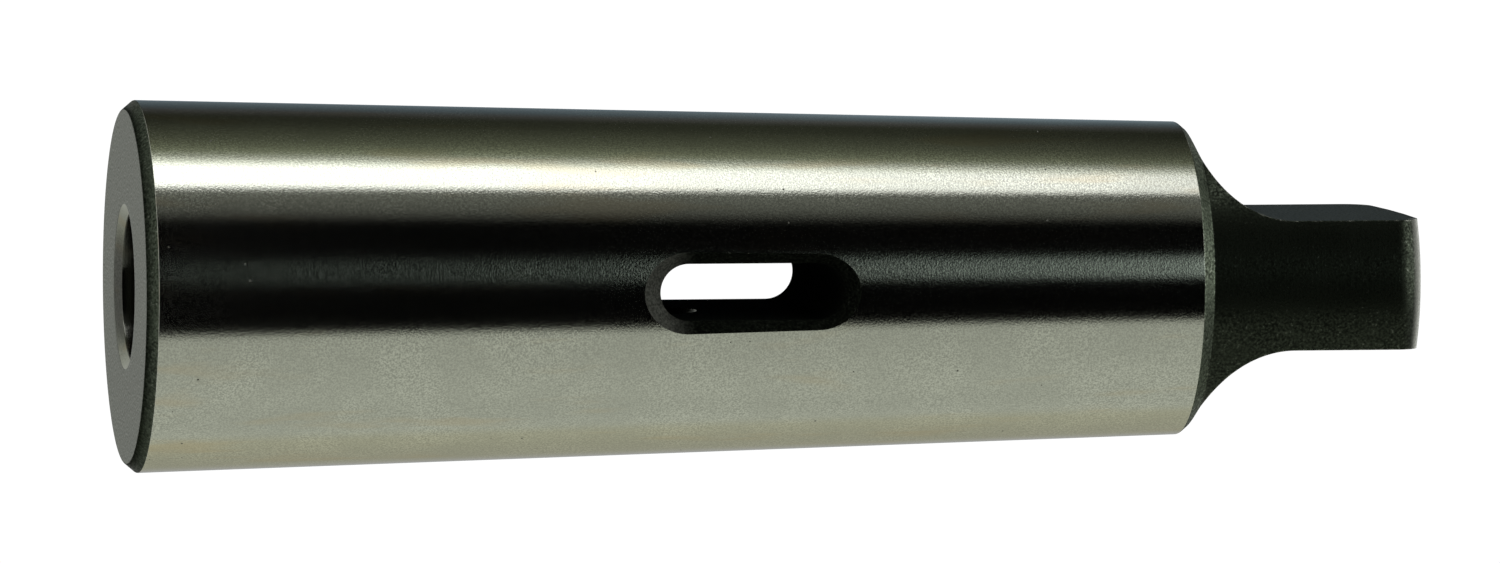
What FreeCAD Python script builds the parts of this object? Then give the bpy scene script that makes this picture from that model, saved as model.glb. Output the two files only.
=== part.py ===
"""Morse taper reduction sleeve with a tang: outside taper number 5, socket number 2.

The sleeve is one turned, milled and ground piece of steel. It stands on its large end face.
Frame: millimetres, origin in the middle of the large end face, +Z up the axis to the tang.
The drift slot goes through along Y, and the two flats of the tang face +X and -X.
"""
import FreeCAD, Part
import math
import os

from FreeCAD import Vector

# Outside taper (Morse 5)
gauge_diameter = 44.399       # diameter at the gauge plane
gauge_offset = 6.5            # height of the gauge plane above the large end face
outer_taper_ratio = 19.002    # length along the axis for each millimetre of diameter
overall_length = 156.0
tang_length = 27.8            # from the small end of the ground taper to the tip of the tang
rim_chamfer_length = 1.3      # chamfer round the large end, along the axis
rim_chamfer_height = 1.1      # the same chamfer, across the face

# Tang
tang_diameter = 35.65         # round part of the tang, under the small end of the taper
shoulder_length = 1.4         # chamfer from the ground taper down to the tang, along the axis
tang_thickness = 15.65        # across the two flats
flat_length = 16.1            # straight part of each flat, from the tip of the tang
runout_radius = 11.0          # the milling cutter's radius where each flat runs out
tip_rounding = 3.0            # round edge of the tang's tip
tip_crown_radius = 250.0      # the tip is turned very slightly domed
centre_diameter = 6.7         # centre hole in the tip, at its mouth
centre_pilot_diameter = 3.15
centre_pilot_length = 3.0     # straight part of the pilot, below the cone
centre_angle = 60.0           # full angle of the centre hole's cone

# Socket (Morse 2)
socket_diameter = 17.780      # where the taper meets the large end face
socket_taper_ratio = 20.020
mouth_diameter = 19.85        # countersink at the socket's mouth
mouth_depth = 0.85
relief_diameter = 14.9        # drilled clearance past the end of the taper
socket_depth = 67.0           # from the large end face to the shoulder of the drill point
drill_angle = 118.0           # full angle of the drill point

# Drift slot
slot_start = 62.0             # from the large end face to the near end of the slot
slot_length = 22.5
slot_width = 6.8
slot_flare_depth = 1.9        # depth of the flared mouth at the middle of the slot
slot_flare_angle = 45.0       # between the flare's flank and the slot's wall

CLEAR = 5.0                   # how far a cutter stands out of the steel

taper_end = overall_length - tang_length
tang_radius = tang_diameter / 2
slot_end = slot_start + slot_length


def outer_radius(height):
    """Radius of the outside taper at a height above the large end face."""
    return (gauge_diameter - (height - gauge_offset) / outer_taper_ratio) / 2


def socket_radius(depth):
    """Radius of the socket's taper at a depth below the large end face."""
    return (socket_diameter - depth / socket_taper_ratio) / 2


def at(radius, height):
    """A point of a half section, which lies in the XZ plane."""
    return Vector(radius, 0, height)


def lines(*points):
    """Straight edges through points of a half section."""
    return [Part.makeLine(start, end) for start, end in zip(points, points[1:])]


def tip_outline():
    """The tang's tip: round edge, slight dome and the centre hole, down to the axis."""
    centre_radius = centre_diameter / 2
    dome_centre = overall_length - math.sqrt(tip_crown_radius ** 2 - centre_radius ** 2)
    edge_radius = tang_radius - tip_rounding
    reach = tip_crown_radius - tip_rounding
    lean = math.asin(edge_radius / reach)
    centre_height = dome_centre + reach * math.cos(lean)

    def on_edge(angle):
        return at(edge_radius + tip_rounding * math.sin(angle),
                  centre_height + tip_rounding * math.cos(angle))

    def on_dome(radius):
        return at(radius, dome_centre + math.sqrt(tip_crown_radius ** 2 - radius ** 2))

    side, meeting = on_edge(math.pi / 2), on_edge(lean)
    mouth = on_dome(centre_radius)
    rounding = Part.Arc(side, on_edge((math.pi / 2 + lean) / 2), meeting).toShape()
    dome = Part.Arc(meeting, on_dome((meeting.x + mouth.x) / 2), mouth).toShape()
    return side, [rounding, dome] + centre_hole(mouth)


def centre_hole(mouth):
    """The centre hole on which the outside taper is ground, from its mouth to the axis."""
    pilot_radius = centre_pilot_diameter / 2
    cone_length = (mouth.x - pilot_radius) / math.tan(math.radians(centre_angle / 2))
    cone_end = mouth.z - cone_length
    pilot_end = cone_end - centre_pilot_length
    point = pilot_end - pilot_radius / math.tan(math.radians(drill_angle / 2))
    return lines(mouth, at(pilot_radius, cone_end), at(pilot_radius, pilot_end), at(0, point))


def socket_outline():
    """Drill point, clearance bore, Morse taper and countersink, from the axis to the face."""
    relief_radius = relief_diameter / 2
    taper_depth = (socket_diameter - relief_diameter) * socket_taper_ratio
    point_depth = socket_depth + relief_radius / math.tan(math.radians(drill_angle / 2))
    return lines(at(0, point_depth),
                 at(relief_radius, socket_depth),
                 at(relief_radius, taper_depth),
                 at(socket_radius(mouth_depth), mouth_depth),
                 at(mouth_diameter / 2, 0))


def turned_blank():
    """The sleeve as it leaves the lathe, from one half section swept round the axis."""
    side, tip = tip_outline()
    socket = socket_outline()
    rim = outer_radius(rim_chamfer_length)
    outside = lines(at(mouth_diameter / 2, 0),
                    at(rim - rim_chamfer_height, 0),
                    at(rim, rim_chamfer_length),
                    at(outer_radius(taper_end), taper_end),
                    at(tang_radius, taper_end + shoulder_length),
                    side)
    axis = lines(tip[-1].Vertexes[-1].Point, socket[0].Vertexes[0].Point)
    section = Part.Face(Part.Wire(outside + tip + axis + socket))
    return section.revolve(Vector(0, 0, 0), Vector(0, 0, 1), 360)


def rounded_slot(grow, reach):
    """The slot's outline in the plane y = reach, grown all round by the same amount."""
    radius = slot_width / 2 + grow
    low, high = slot_start + slot_width / 2, slot_end - slot_width / 2
    near, far = Vector(-radius, reach, low), Vector(radius, reach, low)
    far_top, near_top = Vector(radius, reach, high), Vector(-radius, reach, high)
    bottom = Part.Arc(near, Vector(0, reach, low - radius), far).toShape()
    top = Part.Arc(far_top, Vector(0, reach, high + radius), near_top).toShape()
    return Part.Wire([bottom, Part.makeLine(far, far_top), top, Part.makeLine(near_top, near)])


def slot_cutters():
    """The drift slot straight through, and the flared mouth at each of its two ends."""
    reach = outer_radius(0) + CLEAR
    through = Part.Face(rounded_slot(0, -reach)).extrude(Vector(0, 2 * reach, 0))
    flare_start = outer_radius((slot_start + slot_end) / 2) - slot_flare_depth
    flare_grow = (reach - flare_start) * math.tan(math.radians(slot_flare_angle))
    flares = [Part.makeLoft([rounded_slot(0, side * flare_start),
                             rounded_slot(flare_grow, side * reach)], True, True)
              for side in (-1, 1)]
    return [through] + flares


def flat_cutter(side):
    """What the milling cutter takes off one side of the tang, with its round run-out."""
    flat = side * tang_thickness / 2
    outside = side * (outer_radius(0) + CLEAR)
    flat_start = overall_length - flat_length
    top = overall_length + CLEAR
    arc_end = at(flat + side * runout_radius, flat_start - runout_radius)
    middle = runout_radius * math.sqrt(0.5)
    arc_middle = at(flat + side * (runout_radius - middle), flat_start - middle)
    runout = Part.Arc(at(flat, flat_start), arc_middle, arc_end).toShape()
    outline = lines(arc_end,
                    at(outside, flat_start - runout_radius),
                    at(outside, top),
                    at(flat, top),
                    at(flat, flat_start))
    width = tang_diameter + 2 * CLEAR
    section = Part.Face(Part.Wire([runout] + outline))
    section.translate(Vector(0, -width / 2, 0))
    return section.extrude(Vector(0, width, 0))


def taper_sleeve():
    """The finished sleeve: the turned blank with its drift slot and the tang's flats cut."""
    return turned_blank().cut(slot_cutters() + [flat_cutter(1), flat_cutter(-1)])


sleeve = taper_sleeve()
print("solids", len(sleeve.Solids), "valid", sleeve.isValid(), "faces", len(sleeve.Faces))
print("volume mm3", round(sleeve.Volume, 1), "box", sleeve.BoundBox)
os.makedirs("parts", exist_ok=True)
sleeve.Solids[0].exportStep("parts/taper_sleeve.step")
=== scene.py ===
# %% [markdown]
# # A Morse taper reduction sleeve
#
# The sleeve is one piece of steel, turned on a lathe, milled, and ground on its two tapers.
# A tool with a thin taper goes into its socket, and the sleeve goes into a machine's thicker one.
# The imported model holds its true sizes. This notebook makes a finer copy of the same steel, with
# worn edges and two finishes, and lights it as on a bench with strip lights.

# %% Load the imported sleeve
import math

import bpy
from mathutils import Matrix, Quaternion, Vector


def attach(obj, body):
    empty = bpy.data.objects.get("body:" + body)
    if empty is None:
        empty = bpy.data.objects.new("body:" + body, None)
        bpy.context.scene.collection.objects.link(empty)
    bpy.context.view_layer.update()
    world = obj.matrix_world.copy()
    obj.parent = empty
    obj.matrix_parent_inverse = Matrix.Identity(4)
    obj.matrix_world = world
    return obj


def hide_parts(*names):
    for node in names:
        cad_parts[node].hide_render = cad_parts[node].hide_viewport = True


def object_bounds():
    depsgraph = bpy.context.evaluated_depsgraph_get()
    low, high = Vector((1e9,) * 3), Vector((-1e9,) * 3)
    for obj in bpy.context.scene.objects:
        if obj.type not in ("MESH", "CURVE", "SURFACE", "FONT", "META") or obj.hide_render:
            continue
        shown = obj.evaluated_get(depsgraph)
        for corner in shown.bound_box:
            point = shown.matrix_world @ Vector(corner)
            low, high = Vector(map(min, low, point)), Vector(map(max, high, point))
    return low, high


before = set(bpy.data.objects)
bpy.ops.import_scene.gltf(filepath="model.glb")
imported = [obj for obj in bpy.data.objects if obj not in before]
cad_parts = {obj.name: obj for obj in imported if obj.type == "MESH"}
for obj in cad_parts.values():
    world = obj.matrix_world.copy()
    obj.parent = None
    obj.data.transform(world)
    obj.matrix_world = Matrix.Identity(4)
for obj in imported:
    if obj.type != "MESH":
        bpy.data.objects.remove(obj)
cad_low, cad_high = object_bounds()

MM = 0.001
print("packed sleeve, mm:", [round(value / MM, 2) for value in (*cad_low, *cad_high)])

# %% [markdown]
# ## Sizes
#
# All sizes are in millimetres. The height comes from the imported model. The others are the
# driving sizes of the same sleeve, and the points of its outline are worked out from them.

# %% Sizes of the sleeve
LENGTH = cad_high.z / MM
GAUGE_DIAMETER, GAUGE_HEIGHT, OUTER_RATIO = 44.399, 6.5, 19.002
TAPER_END = LENGTH - 27.8
RIM_CHAMFER = (1.1, 1.3)            # across the face, along the axis
TANG_RADIUS = 35.65 / 2
SHOULDER = 1.4
TANG_HALF = 15.65 / 2               # half the thickness across the two flats
FLAT_START = LENGTH - 16.1
RUNOUT_RADIUS = 11.0
TIP_ROUNDING = 3.0
CROWN_RADIUS = 250.0
SOCKET_DIAMETER, SOCKET_RATIO = 17.780, 20.020
MOUTH_RADIUS, MOUTH_DEPTH = 19.85 / 2, 0.85
RELIEF_RADIUS = 14.9 / 2
SOCKET_DEPTH = 67.0
CENTRE_RADIUS, PILOT_RADIUS, PILOT_LENGTH = 3.35, 1.575, 3.0
SLOT_LOW, SLOT_HIGH, SLOT_HALF = 62.0, 84.5, 3.4
FLARE_DEPTH = 1.9


def outer_radius(height):
    return (GAUGE_DIAMETER - (height - GAUGE_HEIGHT) / OUTER_RATIO) / 2


def socket_radius(depth):
    return (SOCKET_DIAMETER - depth / SOCKET_RATIO) / 2


def drill_point(radius):
    """Length of the 118 degree point that a drill leaves."""
    return radius / math.tan(math.radians(59))


def dome(radius):
    """Height of the slightly domed tip at a radius."""
    centre = LENGTH - math.sqrt(CROWN_RADIUS ** 2 - CENTRE_RADIUS ** 2)
    return centre + math.sqrt(CROWN_RADIUS ** 2 - radius ** 2)


# %% [markdown]
# ## Selecting by place
#
# Most of Blender's editing tools act on whatever is selected. By hand we click on it. In a
# script we say where it is: this helper goes into edit mode and selects the corners, edges or
# faces whose place passes a test, and nothing else.

# %% Helper: select by place
def focus(piece):
    """Make one object the only selected and active one, in object mode."""
    if bpy.context.object and bpy.context.object.mode != "OBJECT":
        bpy.ops.object.mode_set(mode="OBJECT")
    bpy.ops.object.select_all(action="DESELECT")
    piece.select_set(True)
    bpy.context.view_layer.objects.active = piece


def select_where(piece, kind, test):
    """Edit a piece with only the corners, edges or faces selected that pass the test."""
    focus(piece)
    bpy.ops.object.mode_set(mode="EDIT")
    bpy.ops.mesh.select_mode(type=kind)
    bpy.ops.mesh.select_all(action="DESELECT")
    bpy.ops.object.mode_set(mode="OBJECT")
    mesh = piece.data
    found = 0
    parts = {"VERT": mesh.vertices, "EDGE": mesh.edges, "FACE": mesh.polygons}[kind]
    for part in parts:
        if kind == "VERT":
            places = [part.co / MM]
        elif kind == "EDGE":
            places = [mesh.vertices[index].co / MM for index in part.vertices]
        else:
            places = [part.center / MM, part.normal]
        if test(*places):
            part.select = True
            found += 1
    bpy.ops.object.mode_set(mode="EDIT")
    return found


if bpy.context.object is None:
    bpy.context.view_layer.objects.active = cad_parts["taper_sleeve"]
bpy.ops.object.select_all(action="DESELECT")

# %% [markdown]
# ## The half section
#
# A lathe part is the same all the way round, so half of its section says everything. We start
# with a small plane, merge it to one corner, and extrude that corner from point to point: up
# the inside of the socket, round the rim, along the ground taper and over the tang's tip.

# %% Draw the half section
centre_cone = (CENTRE_RADIUS - PILOT_RADIUS) / math.tan(math.radians(30))
cone_end = dome(CENTRE_RADIUS) - centre_cone
pilot_end = cone_end - PILOT_LENGTH
rim_height = RIM_CHAMFER[1]

drill_tip = (0, SOCKET_DEPTH + drill_point(RELIEF_RADIUS))
drill_corner = (RELIEF_RADIUS, SOCKET_DEPTH)
socket_end = (RELIEF_RADIUS, (SOCKET_DIAMETER - 2 * RELIEF_RADIUS) * SOCKET_RATIO)
socket_start = (socket_radius(MOUTH_DEPTH), MOUTH_DEPTH)
mouth = (MOUTH_RADIUS, 0)
face_edge = (outer_radius(rim_height) - RIM_CHAMFER[0], 0)
rim = (outer_radius(rim_height), rim_height)
taper_top = (outer_radius(TAPER_END), TAPER_END)
shoulder_top = (TANG_RADIUS, TAPER_END + SHOULDER)
tip_corner = (TANG_RADIUS, dome(TANG_RADIUS))
dome_middle = (9.0, dome(9.0))
centre_mouth = (CENTRE_RADIUS, dome(CENTRE_RADIUS))
pilot_start = (PILOT_RADIUS, cone_end)
pilot_bottom = (PILOT_RADIUS, pilot_end)
pilot_tip = (0, pilot_end - drill_point(PILOT_RADIUS))
half_section = [drill_tip, drill_corner, socket_end, socket_start, mouth, face_edge, rim,
                taper_top, shoulder_top, tip_corner, dome_middle, centre_mouth, pilot_start,
                pilot_bottom, pilot_tip]

bpy.ops.mesh.primitive_plane_add(size=MM, location=(0, 0, 0))
sleeve = bpy.context.object
sleeve.name = "sleeve_steel"
bpy.ops.object.mode_set(mode="EDIT")
bpy.ops.mesh.merge(type="CENTER")
bpy.ops.mesh.select_all(action="SELECT")
bpy.ops.transform.translate(value=(drill_tip[0] * MM, 0, drill_tip[1] * MM))
for start, end in zip(half_section, half_section[1:]):
    step = ((end[0] - start[0]) * MM, 0, (end[1] - start[1]) * MM)
    bpy.ops.mesh.extrude_region_move(TRANSFORM_OT_translate={"value": step})
bpy.ops.object.mode_set(mode="OBJECT")
print("half section:", len(sleeve.data.vertices), "corners")

# %% [markdown]
# No real edge is perfectly sharp. The tip of the tang is turned with a 3 mm rounding, and the
# other turned edges are broken with a file or a stone, which leaves about a tenth of a
# millimetre. Bevelling the corners of the outline, before it is spun, rounds whole rims at once.

# %% Round the corners of the outline
STONED_EDGE = 0.12
STONED = [socket_end, socket_start, mouth, face_edge, rim, taper_top, shoulder_top, centre_mouth]


def round_corner(corner, size, steps):
    def near(place):
        return math.hypot(place.x - corner[0], place.z - corner[1]) < 0.01
    select_where(sleeve, "VERT", near)
    bpy.ops.mesh.bevel(offset=size * MM, segments=steps, affect="VERTICES", offset_type="OFFSET")


round_corner(tip_corner, TIP_ROUNDING, 12)
for corner in STONED:
    round_corner(corner, STONED_EDGE, 3)
bpy.ops.object.mode_set(mode="OBJECT")
print("rounded outline:", len(sleeve.data.vertices), "corners")

# %% [markdown]
# Long edges would give long thin faces, which shade badly where the slot cuts through them.
# So every edge of the outline that is longer than 2 mm is cut in half, again and again.

# %% Cut the long edges, then spin the outline
LONGEST_EDGE = 2.0
TURNS = 320


def is_long(start, end):
    return (start - end).length > LONGEST_EDGE


while select_where(sleeve, "EDGE", is_long):
    bpy.ops.mesh.subdivide(number_cuts=1)
bpy.ops.mesh.select_mode(type="VERT")
bpy.ops.mesh.select_all(action="SELECT")
bpy.ops.mesh.spin(steps=TURNS, angle=2 * math.pi, center=(0, 0, 0), axis=(0, 0, 1))
bpy.ops.mesh.select_all(action="SELECT")
bpy.ops.mesh.remove_doubles(threshold=0.001 * MM)
bpy.ops.mesh.normals_make_consistent(inside=False)
bpy.ops.object.mode_set(mode="OBJECT")
print("turned blank:", len(sleeve.data.polygons), "faces")

# %% [markdown]
# ## What the milling cutters take away
#
# Two flats are milled on the tang by a round cutter, which leaves a curved run-out at the end
# of each. The drift slot is milled straight through, and its two mouths are flared so that the
# drift key finds its way in. Each cutter here is a block with some of its edges rounded. A
# boolean modifier then takes each block away from the steel.

# %% Blocks for the cutters
CLEAR = 5.0
REACH = cad_high.x / MM + CLEAR


def block(name, low, high):
    """A block between two corners, in millimetres."""
    middle = [(a + b) / 2 * MM for a, b in zip(low, high)]
    size = [(b - a) * MM for a, b in zip(low, high)]
    bpy.ops.object.select_all(action="DESELECT")
    bpy.ops.mesh.primitive_cube_add(size=1, location=middle, scale=size)
    bpy.ops.object.transform_apply(location=True, rotation=True, scale=True)
    bpy.context.object.name = name
    return bpy.context.object


def round_edges(piece, test, size, steps):
    """Round the edges of a block that pass the test."""
    select_where(piece, "EDGE", test)
    bpy.ops.mesh.bevel(offset=size * MM, segments=steps, affect="EDGES", clamp_overlap=False)
    bpy.ops.object.mode_set(mode="OBJECT")


def merge_close(piece):
    """Join corners that a rounding left almost on top of each other."""
    select_where(piece, "VERT", lambda place: True)
    bpy.ops.mesh.remove_doubles(threshold=0.004 * MM)
    bpy.ops.object.mode_set(mode="OBJECT")


def along_y(start, end):
    return abs(start.y - end.y) > 0.1


def slot_block(name, grow, y_start, y_end):
    """A block with the slot's long rounded outline, grown all round."""
    half = SLOT_HALF + grow
    low = (-half, y_start, SLOT_LOW - grow)
    high = (half, y_end, SLOT_HIGH + grow)
    piece = block(name, low, high)
    round_edges(piece, along_y, half - 0.0005, 28)
    merge_close(piece)
    return piece


# %% The slot and its two flared mouths
flare_start = outer_radius((SLOT_LOW + SLOT_HIGH) / 2) - FLARE_DEPTH
flare_grow = REACH - flare_start


def flare_block(side):
    """The mouth of the slot: it starts at the slot's outline and widens outwards at 45 degrees."""
    ends = sorted((side * flare_start, side * REACH))
    piece = slot_block("flare_cutter", flare_grow, *ends)

    def inner_rim(start, end):
        return all(abs(abs(place.y) - flare_start) < 0.01 for place in (start, end))

    round_edges(piece, inner_rim, flare_grow, 1)
    merge_close(piece)
    return piece


cutters = [slot_block("slot_cutter", 0, -REACH, REACH), flare_block(1), flare_block(-1)]
print("slot cutters:", [piece.name for piece in cutters])


# %% The two flats of the tang
def flat_block(side):
    """What the mill takes off one side of the tang, with its round run-out."""
    bottom = FLAT_START - RUNOUT_RADIUS
    x_ends = sorted((side * TANG_HALF, side * REACH))
    piece = block("flat_cutter", (x_ends[0], -REACH, bottom), (x_ends[1], REACH, LENGTH + CLEAR))

    def runout(start, end):
        return all(abs(abs(place.x) - TANG_HALF) < 0.01 and abs(place.z - bottom) < 0.01
                   for place in (start, end))

    round_edges(piece, runout, RUNOUT_RADIUS, 40)
    return piece


cutters += [flat_block(1), flat_block(-1)]

# %% Cut the steel
for cutter in cutters:
    focus(sleeve)
    bpy.ops.object.modifier_add(type="BOOLEAN")
    cut = sleeve.modifiers[-1]
    cut.operation = "DIFFERENCE"
    cut.solver = "MANIFOLD"
    cut.object = cutter
    bpy.ops.object.modifier_apply(modifier=cut.name)
for cutter in cutters:
    bpy.data.objects.remove(cutter)
print("cut sleeve:", len(sleeve.data.polygons), "faces")

# %% [markdown]
# Smooth shading hides the small faces of the turned surfaces. Edges that turn by more than 32
# degrees stay crisp, and weighted normals keep the big flat faces flat right up to their rims.

# %% Smooth shading
focus(sleeve)
bpy.ops.object.shade_smooth_by_angle(angle=math.radians(32))
bpy.ops.object.modifier_add(type="WEIGHTED_NORMAL")
sleeve.modifiers[-1].keep_sharp = True
bpy.ops.object.modifier_apply(modifier=sleeve.modifiers[-1].name)

# %% [markdown]
# ## Which surfaces are ground and which are blackened
#
# The whole blank is blackened in hot salts, and then the two tapers are ground bright on
# centres, as is the countersink that the centre runs in. So the finish follows the surface: a
# face whose middle lies on a taper is ground, and the rest stays black. The two chamfers beside the
# ground taper are rubbed thin, and what was milled is duller than what was turned. Each finish is a
# material slot of the one piece.
# The socket's ground steel and the slot's milled walls get a much darker colour than their
# finish has: that is painted shade inside the bore and inside the slot.

# %% Give each face its finish
blackened = bpy.data.materials.new("blackened_steel")
ground_taper = bpy.data.materials.new("ground_taper")
ground_socket_painted_shade = bpy.data.materials.new("ground_socket_painted_shade")
countersink = bpy.data.materials.new("turned_countersink")
milled_slot_painted_shade = bpy.data.materials.new("milled_slot_painted_shade")
milled_flats = bpy.data.materials.new("milled_flats")
rubbed_chamfers = bpy.data.materials.new("rubbed_chamfers")
sleeve.data.materials.clear()       # the cutters left an empty slot behind
for finish in (blackened, ground_taper, ground_socket_painted_shade, milled_slot_painted_shade, milled_flats,
               rubbed_chamfers, countersink):
    sleeve.data.materials.append(finish)

BESIDE = 0.03


def on_outside_taper(middle, normal):
    radius = math.hypot(middle.x, middle.y)
    in_length = rim_height + STONED_EDGE / 2 < middle.z < TAPER_END - STONED_EDGE / 2
    return in_length and abs(radius - outer_radius(middle.z)) < BESIDE


def on_socket_taper(middle, normal):
    radius = math.hypot(middle.x, middle.y)
    in_length = MOUTH_DEPTH < middle.z < socket_end[1]
    return in_length and abs(radius - socket_radius(middle.z)) < BESIDE


def on_countersink(middle, normal):
    radius = math.hypot(middle.x, middle.y)
    return middle.z < MOUTH_DEPTH and radius < MOUTH_RADIUS - STONED_EDGE / 2


def in_slot(middle, normal):
    """On the slot's wall or flare: its distance from the middle line tells."""
    half_straight = (SLOT_HIGH - SLOT_LOW) / 2 - SLOT_HALF
    past_straight = max(abs(middle.z - (SLOT_LOW + SLOT_HIGH) / 2) - half_straight, 0)
    grow = max(abs(middle.y) - flare_start, 0)
    return abs(math.hypot(middle.x, past_straight) - SLOT_HALF - grow) < 2 * BESIDE


def on_flats(middle, normal):
    across = abs(middle.x) - TANG_HALF
    if middle.z > FLAT_START:
        return abs(across) < BESIDE
    runout = math.hypot(across - RUNOUT_RADIUS, middle.z - FLAT_START)
    return middle.z > FLAT_START - RUNOUT_RADIUS and abs(runout - RUNOUT_RADIUS) < BESIDE


def on_chamfers(middle, normal):
    radius = math.hypot(middle.x, middle.y)
    at_rim = face_edge[0] < radius and middle.z < rim_height + STONED_EDGE / 2
    at_shoulder = TAPER_END - STONED_EDGE / 2 < middle.z < TAPER_END + SHOULDER
    return at_rim or at_shoulder and radius > TANG_RADIUS and normal.z > 0.2


def give_finish(slot, test):
    count = select_where(sleeve, "FACE", test)
    sleeve.active_material_index = slot
    bpy.ops.object.material_slot_assign()
    bpy.ops.object.mode_set(mode="OBJECT")
    return count


print("slot faces:", give_finish(3, in_slot), "faces of the flats:", give_finish(4, on_flats))
print("chamfer faces:", give_finish(5, on_chamfers))
print("ground faces:", give_finish(1, on_outside_taper), give_finish(2, on_socket_taper),
      give_finish(6, on_countersink))

# %% [markdown]
# ## Helpers for materials
#
# Materials are graphs of small nodes. The first helper adds one node and fills its sockets, and
# the second starts a group: a small graph with named inputs and outputs that several materials
# can use, each with its own values.

# %% Helpers: nodes and groups
def add(tree, kind, sockets=(), **settings):
    """Add a node. Sockets are given by name or number, as a value or another node's output."""
    made = tree.nodes.new("ShaderNode" + kind)
    for name, value in settings.items():
        setattr(made, name, value)
    for name, value in dict(sockets).items():
        if isinstance(value, bpy.types.NodeSocket):
            tree.links.new(value, made.inputs[name])
        else:
            made.inputs[name].default_value = value
    return made


def calculate(tree, operation, *values):
    """A Math node's result."""
    return add(tree, "Math", dict(enumerate(values)), operation=operation).outputs[0]


def smooth_step(tree, value, low, high):
    """0 below low, 1 above high, and a soft step between them."""
    sockets = {"Value": value, "From Min": low, "From Max": high}
    made = add(tree, "MapRange", sockets, interpolation_type="SMOOTHSTEP")
    return made.outputs["Result"]


def blend_colour(tree, factor, first, second, way="MIX"):
    made = add(tree, "Mix", data_type="RGBA", blend_type=way)
    for socket, value in ((made.inputs[0], factor), (made.inputs[6], first), (made.inputs[7], second)):
        if isinstance(value, bpy.types.NodeSocket):
            tree.links.new(value, socket)
        else:
            socket.default_value = value
    return made.outputs[2]


def grey(level, warmth=0.0):
    """A grey, turned a little towards yellow."""
    return (level * (1 + warmth / 2), level * (1 + warmth / 3), level * (1 - warmth), 1)


def start_group(name, inputs, outputs):
    """An empty group with number inputs (name: value) and outputs (name: kind)."""
    group = bpy.data.node_groups.new(name, "ShaderNodeTree")
    for label, value in inputs.items():
        socket = group.interface.new_socket(label, in_out="INPUT", socket_type="NodeSocketFloat")
        socket.default_value = value
    for label, kind in outputs.items():
        group.interface.new_socket(label, in_out="OUTPUT", socket_type="NodeSocket" + kind)
    return group, group.nodes.new("NodeGroupInput"), group.nodes.new("NodeGroupOutput")


def use_group(tree, group, sockets=()):
    made = add(tree, "Group")
    made.node_tree = group
    for name, value in dict(sockets).items():
        if isinstance(value, bpy.types.NodeSocket):
            tree.links.new(value, made.inputs[name])
        else:
            made.inputs[name].default_value = value
    return made


def start_material(material):
    """Clear a material and give it a metal surface. Returns its node tree and its shader."""
    material.use_nodes = True
    tree = material.node_tree
    tree.nodes.clear()
    shader = add(tree, "BsdfPrincipled", {"Metallic": 1.0})
    output = add(tree, "OutputMaterial")
    tree.links.new(shader.outputs["BSDF"], output.inputs["Surface"])
    return tree, shader


# %% [markdown]
# ## Grain, lines and worn edges
#
# Three things show on every surface here. Steel has a fine grain, like salt and pepper. A
# grinding wheel or a lathe tool leaves fine lines around the axis: noise that is stretched
# around the axis and squeezed along it looks like that. And handling wears the edges bright. To
# find the edges, rays are sent into the steel: near an outer edge they come out again soon.

# %% Group: fine grain
def grain_group():
    group, given, result = start_group(
        "steel_grain", {"Grain size mm": 0.2, "Cloud size mm": 12.0},
        {"Grain": "Float", "Clouds": "Float"})
    place = add(group, "TexCoord").outputs["Object"]
    grain_scale = calculate(group, "DIVIDE", 1 / MM, given.outputs["Grain size mm"])
    cloud_scale = calculate(group, "DIVIDE", 1 / MM, given.outputs["Cloud size mm"])
    grain = add(group, "TexNoise", {"Vector": place, "Scale": grain_scale, "Detail": 3.0})
    clouds = add(group, "TexNoise", {"Vector": place, "Scale": cloud_scale, "Detail": 4.0})
    group.links.new(grain.outputs[0], result.inputs["Grain"])
    group.links.new(clouds.outputs[0], result.inputs["Clouds"])
    return group


# %% Group: lines around the axis
def lines_group():
    group, given, result = start_group(
        "turning_lines", {"Line width mm": 0.15, "Line length mm": 6.0}, {"Lines": "Float"})
    place = add(group, "TexCoord").outputs["Object"]
    across = calculate(group, "DIVIDE", 1 / MM, given.outputs["Line width mm"])
    around = calculate(group, "DIVIDE", 1 / MM, given.outputs["Line length mm"])
    scale = add(group, "CombineXYZ", {0: around, 1: around, 2: across})
    stretched = add(group, "VectorMath", {0: place, 1: scale.outputs[0]}, operation="MULTIPLY")
    lines = add(group, "TexNoise", {"Vector": stretched.outputs[0], "Scale": 1.0, "Detail": 3.0})
    group.links.new(lines.outputs[0], result.inputs["Lines"])
    return group


# %% Group: worn edges
def edge_group():
    group, given, result = start_group(
        "worn_edges", {"Width mm": 0.3, "Breaks mm": 1.0, "Wear": 0.5},
        {"Worn": "Float", "Rounded": "Vector"})
    width = calculate(group, "MULTIPLY", given.outputs["Width mm"], MM)
    inward = add(group, "AmbientOcclusion", {"Distance": width}, samples=6, inside=True,
                 only_local=True)
    near_edge = calculate(group, "SUBTRACT", 1.0, inward.outputs["AO"])
    place = add(group, "TexCoord").outputs["Object"]
    scale = calculate(group, "DIVIDE", 1 / MM, given.outputs["Breaks mm"])
    breaks = add(group, "TexNoise", {"Vector": place, "Scale": scale, "Detail": 4.0,
                                     "Roughness": 0.6})
    start = calculate(group, "SUBTRACT", 1.0, given.outputs["Wear"])
    end = calculate(group, "ADD", start, 0.12)
    worn_places = smooth_step(group, breaks.outputs[0], start, end)
    strong = smooth_step(group, near_edge, 0.12, 0.4)
    worn = calculate(group, "MULTIPLY", strong, worn_places)
    rounded = add(group, "Bevel", {"Radius": calculate(group, "MULTIPLY", width, 0.6)}, samples=6)
    group.links.new(worn, result.inputs["Worn"])
    group.links.new(rounded.outputs[0], result.inputs["Rounded"])
    return group


steel_grain, turning_lines, worn_edges = grain_group(), lines_group(), edge_group()
print("groups:", [group.name for group in bpy.data.node_groups])

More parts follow.
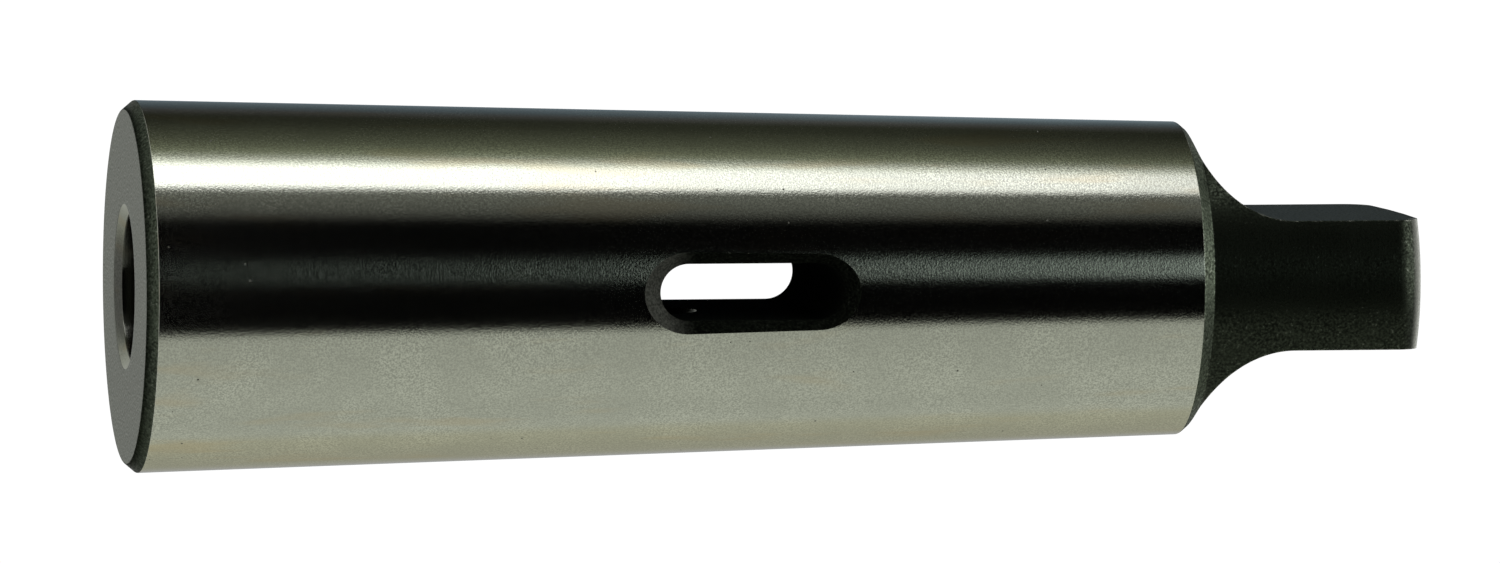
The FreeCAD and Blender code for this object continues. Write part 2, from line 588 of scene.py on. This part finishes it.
# %% [markdown]
# ## The ground steel
#
# Grinding leaves bright steel with fine lines around the axis. It reflects almost like a mirror
# around the axis and much more softly along it, which is what Anisotropic does; the rotation of
# a quarter turn lays the soft direction along the axis. The grain makes the bright parts look
# salted, some faint tan streaks of old oil run along the steel, and there are a few small pits.

# %% Material: the ground outside taper
STEEL, OXIDE = (0.60, 0.615, 0.54), (0.53, 0.64, 0.46)


def shade_of(colour, level):
    return tuple(channel * level for channel in colour) + (1,)


def ground(material, level, roughness, anisotropic):
    tree, shader = start_material(material)
    grain = use_group(tree, steel_grain, {"Grain size mm": 0.22, "Cloud size mm": 9.0})
    lines = use_group(tree, turning_lines, {"Line width mm": 0.2, "Line length mm": 7.0})

    salted = smooth_step(tree, grain.outputs["Grain"], 0.32, 0.68)
    colour = blend_colour(tree, salted, shade_of(STEEL, level * 0.76), shade_of(STEEL, level * 1.24))
    clouded = smooth_step(tree, grain.outputs["Clouds"], 0.35, 0.65)
    colour = blend_colour(tree, calculate(tree, "MULTIPLY", clouded, 0.5), colour,
                          shade_of(STEEL, level * 0.88))

    place = add(tree, "TexCoord").outputs["Object"]
    along = add(tree, "Mapping", {"Vector": place, "Scale": (0.3 / MM, 0.3 / MM, 0.045 / MM)})
    streaks = add(tree, "TexNoise", {"Vector": along.outputs[0], "Scale": 1.0, "Detail": 4.0})
    oily = smooth_step(tree, streaks.outputs[0], 0.54, 0.7)
    colour = blend_colour(tree, calculate(tree, "MULTIPLY", oily, 0.5), colour,
                          shade_of((0.62, 0.55, 0.40), level))

    cells = add(tree, "TexVoronoi", {"Vector": place, "Scale": 0.5 / MM, "Randomness": 1.0})
    pit = calculate(tree, "LESS_THAN", cells.outputs["Distance"], 0.065)
    seldom = add(tree, "SeparateColor", {"Color": cells.outputs["Color"]}).outputs[0]
    pit = calculate(tree, "MULTIPLY", pit, calculate(tree, "GREATER_THAN", seldom, 0.86))
    colour = blend_colour(tree, calculate(tree, "MULTIPLY", pit, 0.8), colour, grey(0.05, 0.1))
    tree.links.new(colour, shader.inputs["Base Color"])

    rough = calculate(tree, "MULTIPLY_ADD", salted, 0.04, roughness - 0.02)
    rough = calculate(tree, "MULTIPLY_ADD", pit, 0.4, rough)
    tree.links.new(rough, shader.inputs["Roughness"])
    shader.inputs["Anisotropic"].default_value = anisotropic
    shader.inputs["Anisotropic Rotation"].default_value = 0.25

    height = calculate(tree, "MULTIPLY_ADD", lines.outputs["Lines"], 0.25, grain.outputs["Grain"])
    height = calculate(tree, "MULTIPLY_ADD", pit, -8.0, height)
    bump = add(tree, "Bump", {"Height": height, "Strength": 1.0, "Distance": 0.008 * MM})
    tree.links.new(bump.outputs[0], shader.inputs["Normal"])


ground(ground_taper, 1.0, 0.12, 0.4)
# The socket bore is ground steel like the outside taper. Its colour, a sixth of the taper's, is
# painted shade inside the bore.
ground(ground_socket_painted_shade, 0.16, 0.16, 0.4)
ground(countersink, 0.5, 0.3, 0.2)

# %% [markdown]
# ## The blackened steel
#
# Black oxide is a thin, dark, slightly rough skin. It is nearly black seen straight on and
# shines when seen along the surface, which a metal of a very dark colour does too. Seen closely
# it sparkles with tiny bright grains. Where it has rubbed against machines it is worn to the
# bare steel: broken lines along the edges, and the round edge of the tang's tip.

# %% Material: blackened steel
def blacken(material, level, roughness, wear, glancing=1.0, key_wear=0.0):
    """Glancing: how strongly it shines seen along it. Key wear: how thin the drift key rubs it."""
    tree, shader = start_material(material)
    grain = use_group(tree, steel_grain, {"Grain size mm": 0.3, "Cloud size mm": 6.0})
    lines = use_group(tree, turning_lines, {"Line width mm": 0.22, "Line length mm": 5.0})
    edges = use_group(tree, worn_edges, {"Width mm": 0.3, "Breaks mm": 0.8, "Wear": wear})

    speckled = smooth_step(tree, grain.outputs["Grain"], 0.32, 0.68)
    colour = blend_colour(tree, speckled, shade_of(OXIDE, level * 0.4),
                          shade_of(OXIDE, level * 1.6))
    clouded = smooth_step(tree, grain.outputs["Clouds"], 0.4, 0.65)
    colour = blend_colour(tree, calculate(tree, "MULTIPLY", clouded, 0.3), colour,
                          shade_of(OXIDE, level * 1.3))
    sparkle = smooth_step(tree, grain.outputs["Grain"], 0.64, 0.74)
    bare = calculate(tree, "MAXIMUM", calculate(tree, "MULTIPLY", sparkle, level * 2.5),
                     edges.outputs["Worn"])

    place = add(tree, "TexCoord").outputs["Object"]
    height = add(tree, "SeparateXYZ", {0: place}).outputs[2]
    from_axis = add(tree, "VectorMath", {0: place, 1: (1, 1, 0)}, operation="MULTIPLY")
    from_axis = add(tree, "VectorMath", {0: from_axis.outputs[0]}, operation="LENGTH")
    tip = smooth_step(tree, height, (LENGTH - 1.9) * MM, (LENGTH - 0.7) * MM)
    rounding = smooth_step(tree, from_axis.outputs["Value"], (TANG_RADIUS - 3.4) * MM,
                           (TANG_RADIUS - 2.6) * MM)
    patchy = calculate(tree, "MULTIPLY_ADD", speckled, 0.3, 0.6)
    tip = calculate(tree, "MULTIPLY", calculate(tree, "MULTIPLY", tip, rounding), patchy)
    bare = calculate(tree, "MAXIMUM", bare, tip)
    key_end = smooth_step(tree, height, (SLOT_LOW + 4.5) * MM, (SLOT_LOW + 0.5) * MM)
    aside = calculate(tree, "ABSOLUTE", add(tree, "SeparateXYZ", {0: place}).outputs[1])
    mouth_only = smooth_step(tree, aside, (flare_start - 0.1) * MM, (flare_start + 0.1) * MM)
    thinned = calculate(tree, "MULTIPLY", calculate(tree, "MULTIPLY", key_end, mouth_only),
                        calculate(tree, "MULTIPLY", patchy, key_wear))
    bare = calculate(tree, "MAXIMUM", bare, thinned)
    colour = blend_colour(tree, bare, colour, shade_of(STEEL, 1.0))
    tree.links.new(colour, shader.inputs["Base Color"])

    rough = calculate(tree, "MULTIPLY_ADD", speckled, -0.16, roughness + 0.04)
    rough = calculate(tree, "MULTIPLY_ADD", edges.outputs["Worn"], 0.3 - roughness, rough)
    tree.links.new(rough, shader.inputs["Roughness"])
    shader.inputs["Specular Tint"].default_value = grey(glancing)

    bumps = calculate(tree, "MULTIPLY_ADD", lines.outputs["Lines"], 0.5, grain.outputs["Grain"])
    bump = add(tree, "Bump", {"Height": bumps, "Strength": 1.0, "Distance": 0.018 * MM,
                              "Normal": edges.outputs["Rounded"]})
    tree.links.new(bump.outputs[0], shader.inputs["Normal"])


blacken(blackened, 0.05, 0.4, 0.53)
blacken(rubbed_chamfers, 0.15, 0.42, 0.52, glancing=0.5)
blacken(milled_flats, 0.07, 0.5, 0.46, glancing=0.75)
# The slot's walls are milled oxide, duller than the rest. Their very dark colour and weak glancing
# shine are also painted shade inside the slot.
blacken(milled_slot_painted_shade, 0.02, 0.9, 0.4, glancing=0.1, key_wear=0.2)
print("finishes:", [slot.material.name for slot in sleeve.material_slots])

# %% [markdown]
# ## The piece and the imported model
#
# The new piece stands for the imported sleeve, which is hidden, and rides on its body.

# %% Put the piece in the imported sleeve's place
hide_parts("taper_sleeve")
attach(sleeve, "root")

# %% [markdown]
# ## The light round the steel
#
# Bright steel shows what stands round it, so its look is made by the surroundings. Here they
# stand upright round the sleeve, as in a light tent: a bright strip light on one side,
# a wide pale sheet on the other, and dark card between them, with soft light above and below.
# The world is coloured by direction: the angle round the axis picks the colour from a ramp.
# What the camera sees behind the sleeve is plain white.

# %% The world by direction
world = bpy.data.worlds.new("light_tent")
bpy.context.scene.world = world
world.use_nodes = True
tent = world.node_tree
tent.nodes.clear()

direction = add(tent, "SeparateXYZ", {0: add(tent, "TexCoord").outputs["Generated"]})
toward_x, toward_y, upward = direction.outputs
angle = calculate(tent, "ARCTAN2", calculate(tent, "MULTIPLY", toward_x, -1.0),
                  calculate(tent, "MULTIPLY", toward_y, -1.0))
angle = calculate(tent, "MULTIPLY", angle, 180 / math.pi)

NEUTRAL, BEIGE, TAN = (1, 1, 1), (1, 1.03, 0.93), (1, 0.985, 0.79)
OLIVE, BLUISH = (1, 1.08, 0.76), (0.85, 1.08, 1.25)
BRIGHTEST = 2.4
WALLS = [  # angle round the axis in degrees, brightness, tint
    (-180, 0.3, BLUISH), (-168, 0.4, NEUTRAL), (-148, 0.385, TAN), (-133, 0.43, TAN),
    (-113, 0.515, TAN), (-104, 0.53, BEIGE), (-91, 0.495, BEIGE), (-73, 0.51, BEIGE),
    (-57, 0.485, BEIGE), (-42, 0.46, BEIGE), (-29.5, 0.45, BEIGE), (-25.3, 0.0, BEIGE),
    (44.5, 0.0, BEIGE), (48, 0.045, BEIGE), (53, 0.1, BEIGE), (63, 0.145, BEIGE),
    (67.2, 0.16, BEIGE), (69.3, 2.3, NEUTRAL), (84, 2.3, NEUTRAL), (87.5, 1.45, BEIGE),
    (90.5, 0.82, BEIGE), (96, 0.31, OLIVE), (103, 0.175, OLIVE), (110, 0.112, OLIVE),
    (118, 0.075, OLIVE), (128, 0.042, OLIVE), (138, 0.034, OLIVE), (147, 0.08, NEUTRAL),
    (155, 0.12, BLUISH), (163, 0.17, BLUISH), (171, 0.2, BLUISH), (180, 0.3, BLUISH)]


def tinted(brightness, tint=NEUTRAL):
    return tuple(brightness * channel for channel in tint) + (1,)


ramp = add(tent, "ValToRGB")
stops = ramp.color_ramp.elements
while len(stops) < len(WALLS):
    stops.new(0.5)
for stop, (degrees, brightness, tint) in zip(stops, WALLS):
    stop.position = degrees / 360 + 0.5
    stop.color = tinted(brightness / BRIGHTEST, tint)
tent.links.new(calculate(tent, "MULTIPLY_ADD", angle, 1 / 360, 0.5), ramp.inputs[0])
walls = add(tent, "VectorMath", {0: ramp.outputs["Color"], "Scale": BRIGHTEST}, operation="SCALE")

# %% [markdown]
# Three things change with height. The strip light gets weaker towards its top, a little light
# comes through a gap between the dark cards, more of it higher up, and there is soft light from
# above, from behind and, less of it, from below.

# %% The strip light's top, the gap, and the soft light above and below
past_strip = smooth_step(tent, angle, 62, 66)
weaker = calculate(tent, "MULTIPLY", past_strip, smooth_step(tent, upward, 0.195, 0.24))
lit = blend_colour(tent, calculate(tent, "MULTIPLY", weaker, 0.58), walls.outputs[0],
                   (0, 0, 0, 1))
low_side = calculate(tent, "MULTIPLY", smooth_step(tent, angle, 86, 92),
                     smooth_step(tent, upward, 0.195, 0.165))
lit = blend_colour(tent, calculate(tent, "MULTIPLY", low_side, 0.32), lit, (0, 0, 0, 1))
in_gap = calculate(tent, "MULTIPLY", smooth_step(tent, angle, 2, 7),
                   smooth_step(tent, angle, 23, 15))
gap_light = calculate(tent, "MULTIPLY_ADD", upward, 9.7, -2.33)
gap_light = add(tent, "Clamp", {"Value": gap_light, "Min": 0.0, "Max": 0.5}).outputs[0]
lit = blend_colour(tent, calculate(tent, "MULTIPLY", in_gap, gap_light), lit,
                   (0.95, 1.1, 1.05, 1))
behind = smooth_step(tent, toward_y, 0.25, 0.7)
high_behind = calculate(tent, "MULTIPLY", behind, smooth_step(tent, upward, 0.3, 0.5))
lit = blend_colour(tent, high_behind, lit, tinted(0.9))
low_behind = calculate(tent, "MULTIPLY", behind, smooth_step(tent, upward, -0.02, -0.08))
lit = blend_colour(tent, low_behind, lit, tinted(0.6, BEIGE))
lit = blend_colour(tent, smooth_step(tent, upward, 0.62, 0.92), lit, tinted(0.5))
lit = blend_colour(tent, smooth_step(tent, upward, -0.62, -0.92), lit, tinted(0.2))

is_camera = add(tent, "LightPath").outputs["Is Camera Ray"]
seen = blend_colour(tent, is_camera, lit, tinted(1.04))
background = add(tent, "Background", {"Color": seen, "Strength": 1.0})
tent.links.new(background.outputs[0], add(tent, "OutputWorld").inputs["Surface"])

# %% [markdown]
# One soft lamp hangs above and a little in front. It gives the sleeve a soft shadow where it
# stands on the floor.

# %% The soft lamp
bpy.ops.object.light_add(type="AREA", location=(-0.25, -0.45, 1.1))
lamp = bpy.context.object
lamp.name = "soft_lamp"
lamp.data.shape = "DISK"
lamp.data.size = 1.0
lamp.data.energy = 4.5
lamp.rotation_euler = (Vector((0, 0, 0.05)) - lamp.location).to_track_quat("-Z", "Y").to_euler()
lamp.visible_camera = False

# %% [markdown]
# ## The floor
#
# The floor is a pale round sheet that fades out into the white. It is drawn from above only, and
# has a hole under the sleeve's end face, so that the end face is lit and seen from below too.

# %% The floor
FLOOR_RADIUS = 0.3
hole_radius = face_edge[0] * MM
bpy.ops.object.select_all(action="DESELECT")
bpy.ops.mesh.primitive_circle_add(vertices=96, radius=hole_radius, fill_type="NOTHING")
floor = bpy.context.object
floor.name = "floor"
bpy.ops.object.mode_set(mode="EDIT")
for radius in (0.03, 0.06, 0.12, 0.2, FLOOR_RADIUS):
    grow = radius / hole_radius
    bpy.ops.mesh.extrude_edges_move()
    bpy.ops.transform.resize(value=(grow, grow, 1))
    hole_radius = radius
bpy.ops.mesh.select_all(action="SELECT")
bpy.ops.mesh.normals_make_consistent(inside=False)
bpy.ops.object.mode_set(mode="OBJECT")
if floor.data.polygons[0].normal.z < 0:
    bpy.ops.object.mode_set(mode="EDIT")
    bpy.ops.mesh.flip_normals()
    bpy.ops.object.mode_set(mode="OBJECT")

paper = bpy.data.materials.new("pale_paper")
floor.data.materials.append(paper)
paper.use_nodes = True
sheet = paper.node_tree
sheet.nodes.clear()
place = add(sheet, "TexCoord").outputs["Object"]
distance = add(sheet, "VectorMath", {0: place}, operation="LENGTH").outputs["Value"]
fade = smooth_step(sheet, distance, FLOOR_RADIUS * 0.3, FLOOR_RADIUS * 0.98)
hidden = calculate(sheet, "MAXIMUM", fade, add(sheet, "NewGeometry").outputs["Backfacing"])
fibres = add(sheet, "TexNoise", {"Vector": place, "Scale": 400.0, "Detail": 3.0})
tone = blend_colour(sheet, fibres.outputs[0], grey(0.82), grey(0.88))
matt = add(sheet, "BsdfDiffuse", {"Color": tone})
clear = add(sheet, "BsdfTransparent")
mixed = add(sheet, "MixShader", {0: hidden, 1: matt.outputs[0], 2: clear.outputs[0]})
sheet.links.new(mixed.outputs[0], add(sheet, "OutputMaterial").inputs["Surface"])

# %% [markdown]
# ## The camera
#
# The camera looks at the side with the slot, from a little below the large end and a little to
# the side, with a long lens, and is rolled so that the sleeve lies across the picture.

# %% The camera
AZIMUTH, ELEVATION, ROLL = (math.radians(value) for value in (-3.913, -9.836, 89.519))
DISTANCE = 1.57515
LENS = 313.15
aim = Vector((0.02, 0, 76.03)) * MM
backward = Vector((math.sin(AZIMUTH) * math.cos(ELEVATION),
                   -math.cos(AZIMUTH) * math.cos(ELEVATION),
                   math.sin(ELEVATION)))
bpy.ops.object.camera_add(location=aim + backward * DISTANCE)
camera = bpy.context.object
camera.name = "camera"
camera.rotation_mode = "QUATERNION"
upright = (-backward).to_track_quat("-Z", "Y")
camera.rotation_quaternion = upright @ Quaternion((0, 0, 1), ROLL)
camera.data.lens = LENS
camera.data.sensor_width = 36.0
camera.data.clip_start = 0.01
bpy.context.scene.camera = camera
bpy.context.scene.view_settings.view_transform = "Standard"
